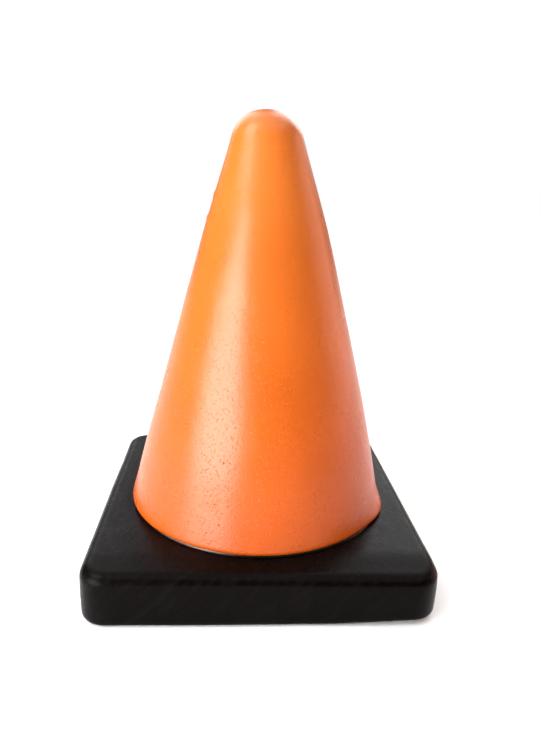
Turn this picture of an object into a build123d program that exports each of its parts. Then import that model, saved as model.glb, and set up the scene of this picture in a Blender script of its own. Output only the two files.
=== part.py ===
from build123d import *
from math import acos, cos, degrees, radians, sin
import os

# A desk-size soft foam traffic cone: an orange cone bonded to a square black base.
# Millimetres, +Z up. The origin is the middle of the underside, at the height of the surface
# that the base stands on. The base's sides face X and Y.

# Base slab
base_width = 72.5
base_height = 11.7
base_corner_radius = 5.3
base_top_edge_radius = 2.4
base_bottom_edge_radius = 1.1

# Cone. Its outline is one chain of tangent arcs: crown, shoulder, flank and rolled foot lip.
# Each turn is the angle, in degrees from straight up, that the surface faces where an arc ends.
total_height = 100
crown_radius = 9.6
crown_turn = 14
shoulder_radius = 7.5
shoulder_turn = 73.5
flank_radius = 2000
lip_radius = 1.25
underside_turn = 180

# Skins: the dense outer layer of each foam moulding
skin = 0.8

# Joint between the cone and the base: a spigot glued into a socket
spigot_radius = 12
spigot_depth = 4
glue_gap = 0.3

# Bead round the cone's foot, in the groove under the lip
bead_height = 0.5
bead_reach = 0.3
bead_depth = 0.5

# Gate in the middle of the base's underside, through which its foam is poured
gate_radius = 3
gate_recess = 0.4

STANDING = (Align.CENTER, Align.CENTER, Align.MIN)


def step(turn, distance):
    """A move in the outline's plane, at an angle from straight up."""
    return Vector(sin(radians(turn)), cos(radians(turn))) * distance


# Centres of the outline's arcs, each in line with the next at the turn where the two arcs meet
crown_centre = Vector(0, total_height - crown_radius)
shoulder_centre = crown_centre + step(crown_turn, crown_radius - shoulder_radius)
flank_centre = shoulder_centre + step(shoulder_turn, shoulder_radius - flank_radius)
flank_drop = base_height + lip_radius - flank_centre.Y
foot_turn = degrees(acos(flank_drop / (flank_radius - lip_radius)))
lip_centre = flank_centre + step(foot_turn, flank_radius - lip_radius)
foot_radius = lip_centre.X + lip_radius

CONE_ARCS = [
    (crown_centre, crown_radius, 0, crown_turn),
    (shoulder_centre, shoulder_radius, crown_turn, shoulder_turn),
    (flank_centre, flank_radius, shoulder_turn, foot_turn),
    (lip_centre, lip_radius, foot_turn, underside_turn),
]


def cone_form(inset):
    """The cone's outer form, shrunk inwards by inset on every side."""
    lowest = base_height + inset
    with BuildPart() as form:
        with BuildSketch(Plane.XZ):
            with BuildLine():
                for centre, radius, start, end in CONE_ARCS:
                    CenterArc(centre, radius - inset, 90 - start, start - end)
                Polyline((lip_centre.X, lowest), (0, lowest), (0, total_height - inset))
            make_face()
        revolve(axis=Axis.Z)
    return form.part


def slab_form(inset):
    """The base's outer form, shrunk inwards by inset on every side."""
    width = base_width - 2 * inset
    form = Pos(0, 0, inset) * Box(width, width, base_height - 2 * inset, align=STANDING)
    form = fillet(form.edges().filter_by(Axis.Z), base_corner_radius - inset)
    form = fillet(form.faces().sort_by(Axis.Z)[-1].edges(), base_top_edge_radius - inset)
    return fillet(form.faces().sort_by(Axis.Z)[0].edges(), base_bottom_edge_radius - inset)


def disc(radius, low, high):
    """An upright cylinder on the cone's axis, between two heights."""
    return Pos(0, 0, low) * Cylinder(radius, high - low, align=STANDING)


def bead_ring():
    """A ring that fills the groove under the lip, with a bulging outer face."""
    inner = foot_radius - bead_depth
    outer = foot_radius + bead_reach
    top = base_height + bead_height
    with BuildPart() as ring:
        with BuildSketch(Plane.XZ):
            with BuildLine():
                Polyline((outer, base_height), (inner, base_height), (inner, top), (foot_radius, top))
                RadiusArc((foot_radius, top), (outer, base_height), bead_height)
            make_face()
        revolve(axis=Axis.Z)
    return ring.part - cone_form(0)


spigot = disc(spigot_radius, base_height - spigot_depth, base_height + skin)
socket = disc(spigot_radius + glue_gap, base_height - spigot_depth - glue_gap, base_height)
gate = disc(gate_radius, 0, skin)
gate_plug = disc(gate_radius, gate_recess, skin)

nodes = {
    "cone_skin": cone_form(0) - cone_form(skin) - spigot,
    "cone_core": cone_form(skin) + spigot,
    "base_skin": slab_form(0) - slab_form(skin) - socket - gate,
    "base_core": slab_form(skin) - socket + gate_plug,
    "adhesive_bond": socket - spigot,
    "foot_bead": bead_ring(),
}

os.makedirs("parts", exist_ok=True)
for name, shape in nodes.items():
    export_step(shape, f"parts/{name}.step")
print(f"foot radius {foot_radius:.2f}, foot turn {foot_turn:.2f}")
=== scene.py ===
import math
import random

import bmesh
import bpy
import numpy as np
from mathutils import Matrix, Vector, noise

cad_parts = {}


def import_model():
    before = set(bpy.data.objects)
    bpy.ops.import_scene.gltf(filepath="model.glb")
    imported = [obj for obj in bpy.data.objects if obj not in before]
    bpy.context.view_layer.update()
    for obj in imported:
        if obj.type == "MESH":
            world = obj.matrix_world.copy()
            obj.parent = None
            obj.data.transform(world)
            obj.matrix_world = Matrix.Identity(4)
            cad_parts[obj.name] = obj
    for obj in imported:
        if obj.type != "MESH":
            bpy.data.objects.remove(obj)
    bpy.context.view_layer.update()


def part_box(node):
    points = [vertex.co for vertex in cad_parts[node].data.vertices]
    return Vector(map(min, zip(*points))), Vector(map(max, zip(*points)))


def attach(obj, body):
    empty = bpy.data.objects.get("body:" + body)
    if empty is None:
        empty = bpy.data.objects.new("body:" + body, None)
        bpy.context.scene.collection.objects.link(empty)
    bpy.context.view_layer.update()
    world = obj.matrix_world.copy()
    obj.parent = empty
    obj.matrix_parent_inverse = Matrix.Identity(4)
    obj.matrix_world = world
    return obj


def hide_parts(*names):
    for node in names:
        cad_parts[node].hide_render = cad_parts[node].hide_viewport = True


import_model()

# Every length is in metres.
MM = 0.001

# Places and sizes that come from the CAD frame
SKIN_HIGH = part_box("cone_skin")[1]
CORE_LOW, CORE_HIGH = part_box("cone_core")
BASE_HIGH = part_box("base_skin")[1]
GLUE_LOW, GLUE_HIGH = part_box("adhesive_bond")
BEAD_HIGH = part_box("foot_bead")[1]
TIP = SKIN_HIGH.z
FOOT_RADIUS = SKIN_HIGH.x
BASE_TOP = BASE_HIGH.z
BASE_HALF = BASE_HIGH.x
SKIN = SKIN_HIGH.z - CORE_HIGH.z
GLUE_GAP = CORE_LOW.z - GLUE_LOW.z
SOCKET_RADIUS = GLUE_HIGH.x
SPIGOT_RADIUS = SOCKET_RADIUS - GLUE_GAP
SPIGOT_END = CORE_LOW.z

# The cone's outline: a chain of tangent arcs, as in the CAD model, but with a slightly tighter lip
CROWN_RADIUS = 9.6 * MM
CROWN_TURN = math.radians(14)
SHOULDER_RADIUS = 7.5 * MM
SHOULDER_TURN = math.radians(73.5)
FLANK_RADIUS = 2000 * MM
LIP_RADIUS = 0.9 * MM

# The base's rounding, and the gate in the middle of its underside
CORNER_RADIUS = 5.3 * MM
TOP_EDGE_RADIUS = 2.4 * MM
BOTTOM_EDGE_RADIUS = 1.1 * MM
GATE_RADIUS = 3 * MM
GATE_RECESS = 0.4 * MM

# The bead's inner wall, under the cone's lip
BEAD_INNER = FOOT_RADIUS - 0.55 * MM

# A core is this much smaller than the inside of its skin, so that the two never touch
CORE_CLEARANCE = 0.05 * MM

# How the soft cone has settled. Its lip is pressed down hardest at PRESSED_TURN from the front, and
# PRESSED_WIDTH is how far that reaches either way, in radians
FLANK_BULGE = 0.22 * MM
UPPER_BULGE = 0.12 * MM
MIDDLE_LEAN = 0.35 * MM
TIP_LEAN = 0.5 * MM
LIP_SPREAD = 1 * MM
PRESSED_TURN = math.radians(69)
PRESSED_WIDTH = 0.24

# How the soft base has settled
WORN_CORNER = 0.9 * MM
UNDERSIDE_HOLLOW = 0.12 * MM
FRONT_SAG = 0.4 * MM
EXTRA_SAG_AT_RIGHT = 0.5 * MM
SIDE_CROWN = 0.18 * MM

# The unevenness of the surfaces: the depth and size of each layer of smooth noise
CONE_WAVES = [(0.11 * MM, 26 * MM), (0.05 * MM, 8 * MM), (0.011 * MM, 1.3 * MM)]
BASE_WAVES = [(0.09 * MM, 20 * MM), (0.04 * MM, 6 * MM), (0.010 * MM, 1.3 * MM)]
FOAM_GRAIN = 0.02 * MM
FOAM_GRAIN_SIZE = 1.6 * MM
TORN_GRAIN = 0.12 * MM
TORN_GRAIN_SIZE = 0.7 * MM

# What the mould left on the cone: the parting line's ridge, and nubs on it, as (height, size)
RIDGE_HEIGHT = 0.045 * MM
RIDGE_WIDTH = 0.3 * MM
NUB_TURN = -90
NUB_HEIGHT = 0.16 * MM
NUBS = [(82.5 * MM, 0.7 * MM), (77.5 * MM, 0.55 * MM)]

# Pinholes in a cluster low on the front left, as (degrees from the front, height)
CLUSTER_PITS = [(-19, 30 * MM), (-21, 21.5 * MM), (-23, 15.5 * MM), (-15, 21.5 * MM), (-18, 17.5 * MM)]
CLUSTER_PIT_RADIUS = 0.2 * MM
STRAY_PITS = 34

# How finely the pieces are divided
AROUND_CONE = 360
AROUND_CORE = 240
AROUND_GLUE = 180
AROUND_BEAD = 720
CORNER_STEPS = 24
SIDE_STEPS = 96
EDGE_SPACING = 0.32 * MM

# Colours, as linear red, green and blue. Pairs are the two ends of a pattern
# The upper orange is paler and yellower: blended in by height, it paints light onto the top of the cone
PAINTED_LIGHT_UPPER_ORANGE = (0.51, 0.118, 0.014), (0.56, 0.133, 0.018)
LOWER_ORANGE = (0.50, 0.075, 0.002), (0.55, 0.087, 0.004)
SPECK_ORANGE = (0.44, 0.070, 0.005)
# Painted shade for the inside of the pinholes
PAINTED_PIT_SHADE = (0.26, 0.040, 0.004)
# Each foam pair is the foam's pale colour and a darker one, painted shade for the cells' hollows
ORANGE_FOAM = (0.86, 0.42, 0.16), (0.45, 0.15, 0.04)
BLACK_SKIN = (0.0020, 0.0012, 0.0010), (0.0036, 0.0029, 0.0023)
BLACK_DUST = (0.0034, 0.0032, 0.0028)
# The second black foam colour is painted shade for the cells' hollows
BLACK_FOAM = (0.035, 0.032, 0.032), (0.008, 0.007, 0.007)
BLACK_BEAD = (0.0010, 0.0008, 0.0008), (0.0024, 0.0020, 0.0018)
# Painted highlight: pale colour on the bead at the front left, standing in for the window lamp's reflection
PAINTED_BEAD_GLINT = (0.46, 0.39, 0.35)
AMBER_GLUE = (0.62, 0.52, 0.34), (0.50, 0.36, 0.17)
FLOOR_WHITE = (0.96, 0.96, 0.96, 1)
LIGHT_WHITE = (1, 1, 1, 1)

# What the lamps face
CONE_MIDDLE = Vector((0, 0, TIP * 0.45))
CONE_UPPER = Vector((0, 0, TIP * 0.7))


# ---------------------------------------------------------------- meshes

def loft(name, rings, start_pole=None, end_pole=None, looped=False):
    """A closed mesh through rings of points. Each end has a pole, or the last ring joins the first."""
    count, around, _ = rings.shape
    points = rings.reshape(-1, 3)
    here = np.arange(around)
    beside = (here + 1) % around
    faces = []
    for ring in range(count if looped else count - 1):
        this = ring * around
        below = (ring + 1) % count * around
        quads = np.stack([this + here, below + here, below + beside, this + beside], 1)
        faces += quads.tolist()
    if start_pole is not None:
        points = np.vstack([points, [start_pole]])
        tip = np.full(around, len(points) - 1)
        faces += np.stack([tip, here, beside], 1).tolist()
    if end_pole is not None:
        points = np.vstack([points, [end_pole]])
        tip = np.full(around, len(points) - 1)
        last = (count - 1) * around
        faces += np.stack([tip, last + beside, last + here], 1).tolist()
    mesh = bpy.data.meshes.new(name)
    mesh.from_pydata(points.tolist(), [], faces)
    mesh.polygons.foreach_set("use_smooth", [True] * len(faces))
    piece = bpy.data.objects.new(name, mesh)
    bpy.context.scene.collection.objects.link(piece)
    return piece


def read_points(piece):
    """The piece's vertices and their normals."""
    mesh = piece.data
    points = np.empty(len(mesh.vertices) * 3, np.float32)
    normals = np.empty(len(mesh.vertices) * 3, np.float32)
    mesh.vertices.foreach_get("co", points)
    mesh.vertex_normals.foreach_get("vector", normals)
    return points.reshape(-1, 3).astype(float), normals.reshape(-1, 3).astype(float)


def write_points(piece, points):
    """Puts the piece's vertices in new places."""
    piece.data.vertices.foreach_set("co", points.astype(np.float32).ravel())
    piece.data.update()


def mark_points(piece, name, marks):
    """Gives each of the piece's vertices a number that its material can read."""
    attribute = piece.data.attributes.new(name, "FLOAT", "POINT")
    attribute.data.foreach_set("value", marks.astype(np.float32))


# ---------------------------------------------------------------- measures of points

def from_axis(points):
    """How far each point is from the Z axis."""
    return np.linalg.norm(points[:, :2], axis=1)


def from_place(points, place):
    """How far each point is from a place."""
    return np.linalg.norm(points - place, axis=1)


def turn_from_front(points):
    """Each point's angle about the Z axis, from the front towards +X."""
    return np.arctan2(points[:, 0], -points[:, 1])


def pushed_out(points, push):
    """The points moved away from the Z axis."""
    moved = points.copy()
    moved[:, :2] *= (1 + push / np.maximum(from_axis(points), MM))[:, None]
    return moved


def lumps(points, size):
    """Smooth noise from -1 to 1, with features about this size."""
    return np.array([noise.noise(place) for place in (points / size).tolist()])


def waves(points, layers):
    """Layers of smooth noise put together, each given as its depth and size."""
    return sum(depth * lumps(points, size) for depth, size in layers)


def ease(value, low, high):
    """0 below low, 1 above high, and a smooth rise between them."""
    share = np.clip((value - low) / (high - low), 0, 1)
    return share * share * (3 - 2 * share)


def hump(value, middle, width):
    """1 at the middle, falling smoothly to nearly 0 at twice the width."""
    return np.exp(-(((value - middle) / width) ** 2))


def spaced(length, spacing):
    """Shares of the way along a stretch, from 0 to 1, at about this spacing."""
    return np.linspace(0, 1, max(2, round(length / spacing) + 1))


# ---------------------------------------------------------------- the cone's outlines

def turned(turn, distance):
    """A move in the outline's plane, at an angle from straight up."""
    return np.array([math.sin(turn), math.cos(turn)]) * distance


def cone_arcs():
    """(centre, radius, start turn, end turn) of the outline's arcs, from the tip down to the foot."""
    crown = np.array([0, TIP - CROWN_RADIUS])
    shoulder = crown + turned(CROWN_TURN, CROWN_RADIUS - SHOULDER_RADIUS)
    flank = shoulder + turned(SHOULDER_TURN, SHOULDER_RADIUS - FLANK_RADIUS)
    foot_turn = math.acos((BASE_TOP + LIP_RADIUS - flank[1]) / (FLANK_RADIUS - LIP_RADIUS))
    lip = flank + turned(foot_turn, FLANK_RADIUS - LIP_RADIUS)
    return [
        (crown, CROWN_RADIUS, 0, CROWN_TURN),
        (shoulder, SHOULDER_RADIUS, CROWN_TURN, SHOULDER_TURN),
        (flank, FLANK_RADIUS, SHOULDER_TURN, foot_turn),
        (lip, LIP_RADIUS, foot_turn, math.pi),
    ]


def cone_outline(inset, spacing, lip_spacing):
    """(radius, height) down the cone's outline, moved inwards by inset, without the tip itself."""
    outline = []
    for centre, radius, start, end in cone_arcs():
        length = (end - start) * radius
        gap = lip_spacing if radius == LIP_RADIUS else spacing
        for share in spaced(length, gap)[1:]:
            outline.append(centre + turned(start + (end - start) * share, radius - inset))
    return outline


def straight(start, end, spacing):
    """(radius, height) along a straight part of an outline, after its start."""
    start, end = np.array(start), np.array(end)
    shares = spaced(np.linalg.norm(end - start), spacing)[1:]
    return [start + (end - start) * share for share in shares]


def revolve(outline, around=AROUND_CONE):
    """Rings round the Z axis, one for each (radius, height). They start at the front, towards +X."""
    outline = np.array(outline)
    turn = np.linspace(0, 2 * math.pi, around, endpoint=False)
    circle = np.stack([np.sin(turn), -np.cos(turn)], 1)
    rings = np.empty((len(outline), around, 3))
    rings[:, :, :2] = outline[:, 0, None, None] * circle
    rings[:, :, 2] = outline[:, 1, None]
    return rings


# ---------------------------------------------------------------- how the soft cone has settled

def settle_cone(points):
    """The foam cone isn't quite straight: it bulges slightly, its middle leans right and its tip left."""
    height = np.clip((points[:, 2] - BASE_TOP) / (TIP - BASE_TOP), 0, 1)
    bulge = FLANK_BULGE * ease(height, 0.05, 0.2) * (1 - ease(height, 0.75, 0.92))
    bulge += UPPER_BULGE * hump(height, 0.69, 0.12)
    settled = pushed_out(points, bulge)
    settled[:, 0] += MIDDLE_LEAN * np.sin(math.pi * height) - TIP_LEAN * height**3
    return settled


def pressed_side(points):
    """1 at the right of the foot, where the lip was pressed down hardest, and 0 away from it."""
    return hump(turn_from_front(points), PRESSED_TURN, PRESSED_WIDTH)


def flare_lip(points, outer):
    """Spreads the outer side of the lip where the cone was pressed down hardest."""
    rim = outer * ease(from_axis(points), FOOT_RADIUS - 2.5 * MM, FOOT_RADIUS - 1 * MM)
    low = 1 - ease(points[:, 2], BASE_TOP + 0.3 * MM, BASE_TOP + 4.5 * MM)
    return pushed_out(points, LIP_SPREAD * pressed_side(points) * low * rim)


# ---------------------------------------------------------------- marks in the foam

def azimuth_place(degrees, height):
    """The point on the cone's flank at an angle from the front towards +X, at a height."""
    centre, radius, _, _ = cone_arcs()[2]
    reach = centre[0] + math.sqrt(radius**2 - (height - centre[1]) ** 2)
    turn = math.radians(degrees)
    return np.array([reach * math.sin(turn), -reach * math.cos(turn), height])


def pit_places():
    """(place, radius) of each pinhole in the cone's skin: the cluster, and strays that thin out upwards."""
    pits = [(azimuth_place(turn, height), CLUSTER_PIT_RADIUS) for turn, height in CLUSTER_PITS]
    draw = random.Random(7)
    for _ in range(STRAY_PITS):
        height = (13 + 60 * draw.random() ** 1.6) * MM
        place = azimuth_place(draw.uniform(-180, 180), height)
        pits.append((place, draw.uniform(0.1, 0.2) * MM))
    return pits


def refine_round(piece, places, reach, cuts):
    """Divides the piece's faces more finely round some places."""
    made = bmesh.new()
    made.from_mesh(piece.data)
    made.verts.ensure_lookup_table()
    points = np.array([v.co for v in made.verts])
    near = np.zeros(len(points), bool)
    for place in places:
        near |= from_place(points, place) < reach
    edges = [e for e in made.edges if near[e.verts[0].index] and near[e.verts[1].index]]
    bmesh.ops.subdivide_edges(made, edges=edges, cuts=cuts, use_grid_fill=True)
    many_sided = [face for face in made.faces if len(face.verts) > 4]
    bmesh.ops.triangulate(made, faces=many_sided, quad_method="BEAUTY", ngon_method="BEAUTY")
    made.to_mesh(piece.data)
    made.free()
    piece.data.polygons.foreach_set("use_smooth", [True] * len(piece.data.polygons))
    piece.data.update()


def press_pits(piece, pits):
    """Presses round pinholes into the piece and marks them in the attribute pit, where its material paints
    shade.
    """
    rim_rise, pit_depth = 0.08, 0.75  # in pinhole radii
    points, normals = read_points(piece)
    mark = np.zeros(len(points))
    for place, radius in pits:
        share = from_place(points, place) / radius
        hollow = 1 - ease(share, 0.25, 1.1)
        rim = hump(share, 1.35, 0.3)
        points += normals * (rim * rim_rise - hollow * pit_depth)[:, None] * radius
        mark = np.maximum(mark, hollow)
    write_points(piece, points)
    mark_points(piece, "pit", mark)


# ---------------------------------------------------------------- pieces of the cone

def cone_unevenness(points):
    """How far the cone's surface stands out: waves, the parting line's broken ridge, and the nubs on it."""
    height = waves(points, CONE_WAVES)
    broken = 0.6 + 0.6 * lumps(points, 5 * MM)
    height += RIDGE_HEIGHT * (hump(points[:, 1], 0, RIDGE_WIDTH) * broken)
    for nub_at, size in NUBS:
        nub = azimuth_place(NUB_TURN, nub_at)
        height += NUB_HEIGHT * hump(from_place(points, nub), 0, size)
    return height


def cone_skin_piece():
    """The orange skin: outside, rolled lip, underside with the spigot's opening, and inside."""
    outside = cone_outline(0, 0.52 * MM, 0.2 * MM)
    inside = cone_outline(SKIN, 3 * MM, 0.3 * MM)[::-1]
    opening_low = (SPIGOT_RADIUS, BASE_TOP)
    opening_high = (SPIGOT_RADIUS, BASE_TOP + SKIN)
    underside = straight(outside[-1], opening_low, 3 * MM)
    underside += straight(opening_low, opening_high, 0.4 * MM)
    underside += straight(opening_high, inside[0], 4 * MM)[:-1]
    rings = revolve(outside + underside + inside)
    piece = loft("cone_skin_moulded", rings, (0, 0, TIP), (0, 0, TIP - SKIN))

    points, normals = read_points(piece)
    tip_pole = -2
    outer = np.zeros(len(points))
    outer[: len(outside) * AROUND_CONE] = 1
    outer[tip_pole] = 1
    flank = ease(points[:, 2], BASE_TOP, BASE_TOP + 1.0 * MM)
    height = cone_unevenness(points) * outer * (0.25 + 0.75 * flank)
    points += normals * height[:, None]
    write_points(piece, flare_lip(points, outer))

    pits = pit_places()
    refine_round(piece, [place for place, _ in pits], reach=0.75 * MM, cuts=3)
    press_pits(piece, pits)
    write_points(piece, settle_cone(read_points(piece)[0]))
    return piece


def cone_core_piece():
    """The foam inside the cone's skin, with the spigot that goes down into the base's socket."""
    inset = SKIN + CORE_CLEARANCE
    lowest = BASE_TOP + inset
    neck = SPIGOT_RADIUS - CORE_CLEARANCE
    outline = cone_outline(inset, 1.2 * MM, 0.3 * MM)
    outline += straight(outline[-1], (neck, lowest), 1.2 * MM)
    outline += straight((neck, lowest), (neck, SPIGOT_END), 0.6 * MM)
    outline += straight((neck, SPIGOT_END), (1 * MM, SPIGOT_END), 1.2 * MM)
    rings = revolve(outline, AROUND_CORE)
    piece = loft("cone_core_foam", rings, (0, 0, TIP - inset), (0, 0, SPIGOT_END))
    points, normals = read_points(piece)
    points -= normals * FOAM_GRAIN * (1 + lumps(points, FOAM_GRAIN_SIZE))[:, None]
    write_points(piece, settle_cone(points))
    return piece


def glue_piece():
    """The cup of adhesive between the spigot and the socket."""
    low, wide, middle = GLUE_LOW.z, SOCKET_RADIUS, 0.5 * MM
    outline = straight((middle, low), (wide, low), 1 * MM)
    outline += straight((wide, low), (wide, BASE_TOP), 0.5 * MM)
    outline += straight((wide, BASE_TOP), (SPIGOT_RADIUS, BASE_TOP), 0.15 * MM)
    outline += straight((SPIGOT_RADIUS, BASE_TOP), (SPIGOT_RADIUS, SPIGOT_END), 0.5 * MM)
    outline += straight((SPIGOT_RADIUS, SPIGOT_END), (middle, SPIGOT_END), 1 * MM)
    return loft("adhesive_cup", revolve(outline, AROUND_GLUE), (0, 0, low), (0, 0, SPIGOT_END))


def painted_glint_share(points):
    """How strongly a painted highlight covers the bead: a patch at the front left, mostly close to the lip,
    standing in for the window lamp's reflection.
    """
    turn = np.degrees(turn_from_front(points))
    patch = hump(turn, -23, 8) + 0.4 * hump(turn, -38, 8)
    near_lip = ease(points[:, 2], BASE_TOP + 0.1 * MM, BASE_TOP + 0.35 * MM)
    return np.clip(patch * near_lip * (0.85 + 0.3 * lumps(points, 0.9 * MM)), 0, 1)


def bead_piece():
    """The bead under the lip: thickest at the front right, and thin where the lip is pressed down."""
    high = BEAD_HIGH.z - BASE_TOP
    wide = BEAD_HIGH.x - BEAD_INNER
    steps = np.linspace(0, math.pi / 2, 9)
    outline = [(BEAD_INNER + wide * math.cos(s), BASE_TOP + high * math.sin(s)) for s in steps]
    outline += [(BEAD_INNER, BASE_TOP + high / 2), (BEAD_INNER, BASE_TOP)]
    outline += [(BEAD_INNER + wide / 2, BASE_TOP)]
    piece = loft("foot_bead_glossy", revolve(outline, AROUND_BEAD), looped=True)

    points, _ = read_points(piece)
    reach = from_axis(points)
    front_right = hump(turn_from_front(points), math.radians(33), 0.42)
    swell = 0.8 + 0.22 * front_right - 0.5 * pressed_side(points)
    swell += waves(points, [(0.06, 7 * MM), (0.04, 2 * MM)])
    outward = np.clip(reach - BEAD_INNER, 0, None)
    points[:, :2] *= ((BEAD_INNER + outward * swell) / reach)[:, None]
    points[:, 2] = BASE_TOP + (points[:, 2] - BASE_TOP) * swell
    write_points(piece, points)
    # Marks where the bead's material paints its highlight
    mark_points(piece, "painted_glint", painted_glint_share(points))
    return piece


# ---------------------------------------------------------------- pieces of the base

def square_path():
    """Points round the slab as (centre of curvature, outward direction), anticlockwise from +X."""
    reach = BASE_HALF - CORNER_RADIUS
    centres, directions = [], []
    corners = [(reach, reach), (-reach, reach), (-reach, -reach), (reach, -reach)]
    for quarter, corner in enumerate(corners):
        following = corners[(quarter + 1) % 4]
        start = quarter * math.pi / 2
        for k in range(CORNER_STEPS):
            turn = start + math.pi / 2 * k / CORNER_STEPS
            centres.append(corner)
            directions.append((math.cos(turn), math.sin(turn)))
        for k in range(SIDE_STEPS):
            share = k / SIDE_STEPS
            centres.append(np.array(corner) * (1 - share) + np.array(following) * share)
            directions.append((math.cos(start + math.pi / 2), math.sin(start + math.pi / 2)))
    return np.array(centres), np.array(directions)


def ways_out(path):
    """The direction from the middle of the slab to each point round it."""
    centres, directions = path
    outline = centres + directions * CORNER_RADIUS
    return outline / np.linalg.norm(outline, axis=1)[:, None]


def flat_ring(across, height):
    """A ring of points at one height."""
    return np.column_stack([across, np.full(len(across), height)])


def slab_half(path, inset, top):
    """Rings over one edge of the slab, moved inwards by inset: the top's rounding or the underside's."""
    centres, directions = path
    radius = (TOP_EDGE_RADIUS if top else BOTTOM_EDGE_RADIUS) - inset
    middle = BASE_TOP - TOP_EDGE_RADIUS if top else BOTTOM_EDGE_RADIUS
    rings = []
    for share in spaced(radius * math.pi / 2, EDGE_SPACING):
        turn = share * math.pi / 2
        back = inset + radius * (1 - math.sin(turn))
        rise = radius * math.cos(turn) * (1 if top else -1)
        across = centres + directions * (CORNER_RADIUS - back)
        rings.append(flat_ring(across, middle + rise))
    return rings if top else rings[::-1]


def slab_faces(path, inset, hole_top, hole_bottom, spacing):
    """Rings over the slab from a round hole in its top, down its sides and in to a round hole below."""
    way_out = ways_out(path)
    top, low = BASE_TOP - inset, inset
    over, under = slab_half(path, inset, True), slab_half(path, inset, False)
    under_foot, under_base = 5 * spacing, 1.6 * spacing
    foot = FOOT_RADIUS - 1.5 * MM
    widest_margin = 13 * MM
    rings = []
    for share in spaced(foot - hole_top, under_foot):
        rings.append(flat_ring(way_out * (hole_top + (foot - hole_top) * share), top))
    for share in spaced(widest_margin, spacing)[1:-1]:
        across = way_out * foot * (1 - share) + over[0][:, :2] * share
        rings.append(flat_ring(across, top))
    rings += over
    for share in spaced(over[-1][0, 2] - under[0][0, 2], spacing)[1:-1]:
        rings.append(over[-1] * (1 - share) + under[0] * share)
    rings += under
    for share in spaced(BASE_HALF, under_base)[1:]:
        across = under[-1][:, :2] * (1 - share) + way_out * hole_bottom * share
        rings.append(flat_ring(across, low))
    return rings


def settle_base(points):
    """The slab's underside is slightly hollow, its front edge sags and its front right corner is worn."""
    down = 1 - np.clip(points[:, 2] / BASE_TOP, 0, 1)
    corner = np.array([BASE_HALF, -BASE_HALF])
    near_corner = 1 - ease(from_place(points[:, :2], corner), 2 * MM, 26 * MM)
    near_middle = 1 - ease(from_axis(points), 8 * MM, 34 * MM)
    settled = points.copy()
    settled[:, 2] += WORN_CORNER * near_corner * down
    settled[:, 2] += UNDERSIDE_HOLLOW * near_middle * down**4
    front = ease(-points[:, 1], BASE_HALF - 9 * MM, BASE_HALF)
    right = ease(points[:, 0], -20 * MM, BASE_HALF)
    settled[:, 2] -= (FRONT_SAG + EXTRA_SAG_AT_RIGHT * right) * front * (1 - down) ** 2
    return settled


def base_unevenness(points, normals):
    """How far the base's surface stands out: waves, and sides that bulge between top and underside."""
    side = 1 - np.abs(normals[:, 2])
    share = points[:, 2] / BASE_TOP
    crown = np.clip(4 * share * (1 - share), 0, 1)
    height = waves(points, BASE_WAVES) + SIDE_CROWN * side * crown
    underside = ease(-normals[:, 2], 0.6, 0.95)
    return np.where(underside > 0, np.minimum(height, 0), height)


def base_skin_piece():
    """The black skin: top with the socket's opening, sides, underside with the gate, and inside."""
    path = square_path()
    outside = slab_faces(path, 0, SOCKET_RADIUS, GATE_RADIUS, 0.5 * MM)
    inside = slab_faces(path, SKIN, SOCKET_RADIUS, GATE_RADIUS, 2.4 * MM)[::-1]
    piece = loft("base_skin_moulded", np.array(outside + inside), looped=True)
    points, normals = read_points(piece)
    outer = np.zeros(len(points))
    outer[: len(outside) * len(path[0])] = 1
    clear_of_foot = ease(from_axis(points), FOOT_RADIUS, FOOT_RADIUS + 2 * MM)
    uneven = np.maximum(clear_of_foot, ease(-normals[:, 2], -0.2, 0.2))
    points += normals * (base_unevenness(points, normals) * outer * uneven)[:, None]
    write_points(piece, settle_base(points))
    return piece


def base_core_piece():
    """The foam inside the base's skin, with the socket's hollow and the stub left in the gate."""
    path = square_path()
    way_out = ways_out(path)
    inset = SKIN + CORE_CLEARANCE
    socket = SOCKET_RADIUS + CORE_CLEARANCE
    stub = GATE_RADIUS - CORE_CLEARANCE
    low = GLUE_LOW.z - CORE_CLEARANCE
    socket_floor = np.linspace(1 * MM, socket, 10)
    socket_wall = np.linspace(low, BASE_TOP - inset, 6)[1:-1]
    stub_wall = np.linspace(inset, GATE_RECESS, 4)[1:]
    stub_end = np.linspace(stub, 0.5 * MM, 8)[1:]
    rings = [flat_ring(way_out * reach, low) for reach in socket_floor]
    rings += [flat_ring(way_out * socket, height) for height in socket_wall]
    rings += slab_faces(path, inset, socket, stub, 1.4 * MM)
    rings += [flat_ring(way_out * stub, height) for height in stub_wall]
    rings += [flat_ring(way_out * reach, GATE_RECESS) for reach in stub_end]
    piece = loft("base_core_foam", np.array(rings), (0, 0, low), (0, 0, GATE_RECESS))

    points, normals = read_points(piece)
    torn = 1 - ease(from_place(points, np.array([0, 0, GATE_RECESS])), 1.5 * MM, 3 * MM)
    points -= normals * (FOAM_GRAIN * (1 + lumps(points, FOAM_GRAIN_SIZE)))[:, None]
    points[:, 2] += TORN_GRAIN * torn * lumps(points, TORN_GRAIN_SIZE)
    write_points(piece, settle_base(points))
    return piece


# ---------------------------------------------------------------- material nodes

def new_material(name, ior=None):
    """A node material, its tree and its shader."""
    made = bpy.data.materials.new(name)
    made.use_nodes = True
    shader = made.node_tree.nodes["Principled BSDF"]
    if ior is not None:
        shader.inputs["IOR"].default_value = ior
    return made, made.node_tree, shader


def feed(tree, socket, value):
    """Links another node's output to a socket, or sets the socket to a value."""
    if isinstance(value, bpy.types.NodeSocket):
        tree.links.new(value, socket)
    else:
        socket.default_value = value


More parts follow.
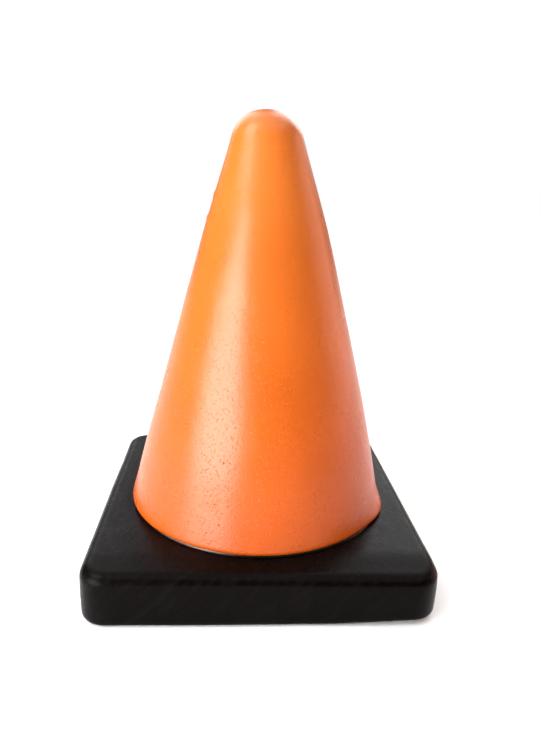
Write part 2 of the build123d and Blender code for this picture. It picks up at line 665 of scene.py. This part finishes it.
def add(tree, kind, settings=None, **inputs):
    """A new node with its settings, and with its inputs set or linked by name."""
    node = tree.nodes.new("ShaderNode" + kind)
    for name, value in (settings or {}).items():
        setattr(node, name, value)
    for name, value in inputs.items():
        feed(tree, node.inputs[name], value)
    return node


def on_piece(tree):
    """Where a point is, in metres, fixed to the piece."""
    return add(tree, "TexCoord").outputs["Object"]


def pattern(tree, size, detail=2.0, stretch=(1, 1, 1), turn=(0, 0, 0)):
    """Noise from 0 to 1 with features about this size, in metres, fixed to the piece."""
    settings = {"vector_type": "TEXTURE"}
    mapped = add(tree, "Mapping", settings, Vector=on_piece(tree), Scale=stretch, Rotation=turn)
    found = add(tree, "TexNoise", Vector=mapped.outputs["Vector"], Scale=1 / size, Detail=detail)
    return found.outputs["Fac"]


def cells(tree, size):
    """Cells about this size: the distance from a cell's middle, in cells, and a random colour for each."""
    found = add(tree, "TexVoronoi", Vector=on_piece(tree), Scale=1 / size)
    return found.outputs["Distance"], found.outputs["Color"]


def dots(tree, size, core, edge):
    """Round dots in about half of the cells: 1 up to core from a cell's middle, 0 past edge, in cells."""
    distance, colour = cells(tree, size)
    chosen = between(tree, colour, 0.45, 0.6)
    return product(tree, between(tree, distance, core, edge, 1, 0), chosen)


def point_mark(tree, name):
    """The number of this name that mark_points gave to the piece's points."""
    return add(tree, "Attribute", {"attribute_name": name}).outputs["Fac"]


def between(tree, value, low, high, new_low=0.0, new_high=1.0):
    """Maps a value from one range to another and clamps it."""
    ranges = {"From Min": low, "From Max": high, "To Min": new_low, "To Max": new_high}
    return add(tree, "MapRange", Value=value, **ranges).outputs["Result"]


def calculated(tree, operation, *values):
    """What a Math node makes of one or two values, each a number or another node's output."""
    node = add(tree, "Math", {"operation": operation})
    for socket, value in zip(node.inputs, values):
        feed(tree, socket, value)
    return node.outputs["Value"]


def product(tree, first, second):
    """Two values multiplied."""
    return calculated(tree, "MULTIPLY", first, second)


def blended(tree, share, first, second):
    """A colour between two others, each a colour or another node's output."""
    node = add(tree, "Mix", {"data_type": "RGBA"})
    tree.links.new(share, node.inputs["Factor"])
    sockets = [socket for socket in node.inputs if socket.type == "RGBA"]
    for socket, value in zip(sockets, (first, second)):
        feed(tree, socket, (*value, 1) if isinstance(value, tuple) else value)
    return [socket for socket in node.outputs if socket.type == "RGBA"][0]


def relief(tree, height, depth, under=None):
    """A bump of this depth in metres, on top of another bump if one is given."""
    node = add(tree, "Bump", Distance=depth, Height=height)
    if under is not None:
        tree.links.new(under, node.inputs["Normal"])
    return node.outputs["Normal"]


def height_share(tree, low, high):
    """0 at one height of the piece and 1 at another."""
    split = add(tree, "SeparateXYZ", Vector=on_piece(tree))
    return between(tree, split.outputs["Z"], low, high)


# ---------------------------------------------------------------- materials

def orange_skin():
    """Satin orange foam skin: faint mottling, painted light that makes the top paler, pinholes with painted
    shade, and orange peel and pinpricks towards the foot.
    """
    made, tree, shader = new_material("orange_skin", ior=1.4)

    mottle = between(tree, pattern(tree, 17 * MM, 3), 0.35, 0.7)
    upper = blended(tree, mottle, *PAINTED_LIGHT_UPPER_ORANGE)
    lower = blended(tree, mottle, *LOWER_ORANGE)
    # Painted light: the colour turns paler towards the top of the cone
    colour = blended(tree, height_share(tree, 85 * MM, 20 * MM), upper, lower)
    speck = between(tree, pattern(tree, 1.1 * MM, 3), 0.62, 0.78, 0, 0.15)
    colour = blended(tree, speck, colour, SPECK_ORANGE)
    # Painted shade: the pinholes' colour is darkened
    colour = blended(tree, product(tree, point_mark(tree, "pit"), 0.5), colour, PAINTED_PIT_SHADE)
    tree.links.new(colour, shader.inputs["Base Color"])

    rough = between(tree, pattern(tree, 5 * MM, 4), 0.3, 0.7, 0.26, 0.31)
    tree.links.new(rough, shader.inputs["Roughness"])

    low_down = height_share(tree, 80 * MM, 30 * MM)
    peel = product(tree, pattern(tree, 0.42 * MM), low_down)
    pinpricks = product(tree, dots(tree, 0.42 * MM, 0.15, 0.4), low_down)
    bump = relief(tree, peel, 0.02 * MM)
    bump = relief(tree, between(tree, pinpricks, 0, 1, 1, 0), 0.05 * MM, bump)
    bump = relief(tree, pattern(tree, 0.28 * MM), 0.006 * MM, bump)
    tree.links.new(bump, shader.inputs["Normal"])
    return made


def black_skin():
    """Satin black foam skin: fine orange peel, slanting rub marks and patches of faint dust."""
    made, tree, shader = new_material("black_skin", ior=1.13)
    slant = (0, math.radians(38), 0)
    rub = pattern(tree, 1.2 * MM, 3, stretch=(1, 1, 6), turn=slant)
    colour = blended(tree, between(tree, rub, 0.5, 0.75), *BLACK_SKIN)
    dust = between(tree, pattern(tree, 9 * MM, 4), 0.5, 0.8, 0, 0.4)
    tree.links.new(blended(tree, dust, colour, BLACK_DUST), shader.inputs["Base Color"])
    tree.links.new(between(tree, rub, 0.35, 0.75, 0.26, 0.37), shader.inputs["Roughness"])
    bump = relief(tree, pattern(tree, 0.8 * MM), 0.03 * MM)
    bump = relief(tree, pattern(tree, 0.25 * MM), 0.006 * MM, bump)
    tree.links.new(bump, shader.inputs["Normal"])
    return made


def foam(name, pale, hollow_shade):
    """Open-celled foam: round cells, with painted shade darkening their hollows."""
    made, tree, shader = new_material(name, ior=1.3)
    shader.inputs["Roughness"].default_value = 0.9
    cell = between(tree, cells(tree, 0.45 * MM)[0], 0.1, 0.7)
    fine_cell = between(tree, cells(tree, 0.16 * MM)[0], 0.1, 0.7)
    # Painted shade: the middle of each cell, its hollow, takes the darker colour
    tree.links.new(blended(tree, cell, hollow_shade, pale), shader.inputs["Base Color"])
    bump = relief(tree, fine_cell, 0.03 * MM, relief(tree, cell, 0.12 * MM))
    tree.links.new(bump, shader.inputs["Normal"])
    return made


def bead_material():
    """Black flexible bead with a slightly wrinkled skin, and a pale painted highlight on part of it."""
    made, tree, shader = new_material("bead", ior=1.2)
    streak = pattern(tree, 1.5 * MM, 3)
    colour = blended(tree, streak, *BLACK_BEAD)
    # Painted highlight: pale colour on the bead where the window lamp would reflect
    colour = blended(tree, point_mark(tree, "painted_glint"), colour, PAINTED_BEAD_GLINT)
    tree.links.new(colour, shader.inputs["Base Color"])
    tree.links.new(between(tree, streak, 0.3, 0.7, 0.2, 0.32), shader.inputs["Roughness"])
    tree.links.new(relief(tree, pattern(tree, 0.7 * MM), 0.02 * MM), shader.inputs["Normal"])
    return made


def adhesive_material():
    """Amber contact adhesive with fine bubbles."""
    made, tree, shader = new_material("adhesive", ior=1.5)
    bubble = between(tree, cells(tree, 0.5 * MM)[0], 0.05, 0.3)
    rough = between(tree, pattern(tree, 2 * MM), 0.3, 0.7, 0.25, 0.4)
    tree.links.new(blended(tree, bubble, *AMBER_GLUE), shader.inputs["Base Color"])
    tree.links.new(rough, shader.inputs["Roughness"])
    tree.links.new(relief(tree, bubble, 0.03 * MM), shader.inputs["Normal"])
    return made


# ---------------------------------------------------------------- stage

def from_front(degrees, elevation, distance):
    """A place seen from the middle of the cone: an angle from the front towards +X, and one upwards."""
    turn, rise = math.radians(degrees), math.radians(elevation)
    flat = distance * math.cos(rise)
    height = CONE_MIDDLE.z + distance * math.sin(rise)
    return Vector((flat * math.sin(turn), -flat * math.cos(turn), height))


def area_light(name, place, target, size, power, colour=(1, 1, 1), tilt=0.0):
    """A soft rectangular lamp at a place, facing a target and turned about its own line of sight."""
    lamp = bpy.data.lights.new(name, "AREA")
    lamp.shape = "RECTANGLE"
    lamp.size, lamp.size_y = size
    lamp.energy = power
    lamp.color = colour
    made = bpy.data.objects.new(name, lamp)
    bpy.context.scene.collection.objects.link(made)
    facing = (target - place).to_track_quat("-Z", "Y").to_matrix().to_4x4()
    made.matrix_world = Matrix.Translation(place) @ facing @ Matrix.Rotation(tilt, 4, "Z")
    made.visible_camera = False
    return made


def window():
    """A slanting window at the front left. A second lamp in its place adds to its reflection only."""
    size, slant = (0.225, 0.25), math.radians(38)
    place = from_front(-46.7, 6, 0.32)
    area_light("window", place, CONE_MIDDLE, size, power=2.0, tilt=slant)
    glint = area_light("window_glint", place, CONE_MIDDLE, size, power=1.5, tilt=slant)
    glint.visible_diffuse = False


def lights():
    """The window, a high lamp at the left, a warm card at the right, and a very soft light overhead."""
    window()
    area_light("high_lamp", from_front(-70, 50, 0.32), CONE_UPPER, (0.16, 0.16), power=0.6)
    warm = (1.0, 0.50, 0.38)
    card_place = from_front(105, 12, 0.7)
    area_light("right_card", card_place, CONE_MIDDLE, (0.5, 0.5), power=2.2, colour=warm)
    sun = bpy.data.lights.new("overhead", "SUN")
    sun.energy = 1.85
    sun.angle = math.radians(80)
    made = bpy.data.objects.new("overhead", sun)
    bpy.context.scene.collection.objects.link(made)


def glow_strength(tree):
    """How bright the room is in each direction, whose parts X, Y and Z run from -1 to 1."""
    direction = add(tree, "TexCoord").outputs["Generated"]
    split = add(tree, "SeparateXYZ", Vector=direction)
    x, y, z = (split.outputs[axis] for axis in "XYZ")

    # All round: weak in front, stronger at the sides and behind, weaker at the left and overhead
    not_in_front = between(tree, y, -0.5, 0.1, 0.05, 0.36)
    less_at_left = between(tree, x, -0.3, 0.3, 0.4, 1.0)
    less_overhead = between(tree, z, 0.5, 0.95, 1.0, 0.2)
    room = product(tree, product(tree, not_in_front, less_at_left), less_overhead)

    # Behind: two bright soft boxes above the horizon, the right one brighter, with a dark gap between
    behind = between(tree, y, 0.2, 0.75, 0, 2.8)
    above_horizon = between(tree, z, 0.15, 0.35)
    sideways = calculated(tree, "ABSOLUTE", x)
    past_gap = between(tree, sideways, 0.08, 0.2)
    within_reach = between(tree, sideways, 0.5, 0.7, 1, 0)
    more_at_right = between(tree, x, -0.4, 0.4, 1.0, 1.4)
    boxes = product(tree, behind, above_horizon)
    boxes = product(tree, product(tree, boxes, past_gap), within_reach)
    return calculated(tree, "ADD", room, product(tree, boxes, more_at_right))


def world():
    """A room that lights the object from behind and the sides, and a plain white backdrop for the camera."""
    made = bpy.data.worlds.new("studio")
    bpy.context.scene.world = made
    made.use_nodes = True
    tree = made.node_tree
    glow = tree.nodes["Background"]
    glow.inputs["Color"].default_value = LIGHT_WHITE
    tree.links.new(glow_strength(tree), glow.inputs["Strength"])
    backdrop = add(tree, "Background", Color=LIGHT_WHITE)
    seen = add(tree, "LightPath").outputs["Is Camera Ray"]
    choose = add(tree, "MixShader", Fac=seen)
    tree.links.new(glow.outputs["Background"], choose.inputs[1])
    tree.links.new(backdrop.outputs["Background"], choose.inputs[2])
    tree.links.new(choose.outputs["Shader"], tree.nodes["World Output"].inputs["Surface"])


def floor():
    """A plain pale floor."""
    mesh = bpy.data.meshes.new("floor")
    reach = 4
    corners = [(-reach, -reach, 0), (reach, -reach, 0), (reach, reach, 0), (-reach, reach, 0)]
    mesh.from_pydata(corners, [], [(0, 1, 2, 3)])
    made = bpy.data.objects.new("floor", mesh)
    bpy.context.scene.collection.objects.link(made)
    paint, _, shader = new_material("floor_paint")
    shader.inputs["Base Color"].default_value = FLOOR_WHITE
    shader.inputs["Roughness"].default_value = 0.9
    shader.inputs["Specular IOR Level"].default_value = 0
    mesh.materials.append(paint)


def camera():
    """The camera: close, a little below the height of the tip, looking down at the base."""
    place = Vector((-7.8, -139.63, 83.7)) * MM
    pan, tilt, roll = math.radians(4.091), math.radians(16.173), math.radians(-2.385)
    ahead = Vector((math.sin(pan) * math.cos(tilt), math.cos(pan) * math.cos(tilt), -math.sin(tilt)))
    level = Vector((math.cos(pan), -math.sin(pan), 0))
    upright = level.cross(ahead)
    right = level * math.cos(roll) - upright * math.sin(roll)
    up = level * math.sin(roll) + upright * math.cos(roll)
    view = bpy.data.cameras.new("camera")
    view.lens = 30.05
    view.clip_start = 0.01
    made = bpy.data.objects.new("camera", view)
    made.matrix_world = Matrix.Translation(place) @ Matrix((right, up, -ahead)).transposed().to_4x4()
    bpy.context.scene.collection.objects.link(made)
    bpy.context.scene.camera = made


# ---------------------------------------------------------------- assembly

def finish_piece(piece, node, material):
    """Paints a piece, puts it in place of its CAD node and attaches it to the root body."""
    piece.data.materials.append(material)
    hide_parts(node)
    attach(piece, "root")


camera()
lights()
world()
floor()
bpy.context.scene.view_settings.view_transform = "Standard"

cone_foam = foam("cone_foam", *ORANGE_FOAM)
base_foam = foam("base_foam", *BLACK_FOAM)
finish_piece(cone_skin_piece(), "cone_skin", orange_skin())
finish_piece(cone_core_piece(), "cone_core", cone_foam)
finish_piece(base_skin_piece(), "base_skin", black_skin())
finish_piece(base_core_piece(), "base_core", base_foam)
finish_piece(glue_piece(), "adhesive_bond", adhesive_material())
finish_piece(bead_piece(), "foot_bead", bead_material())
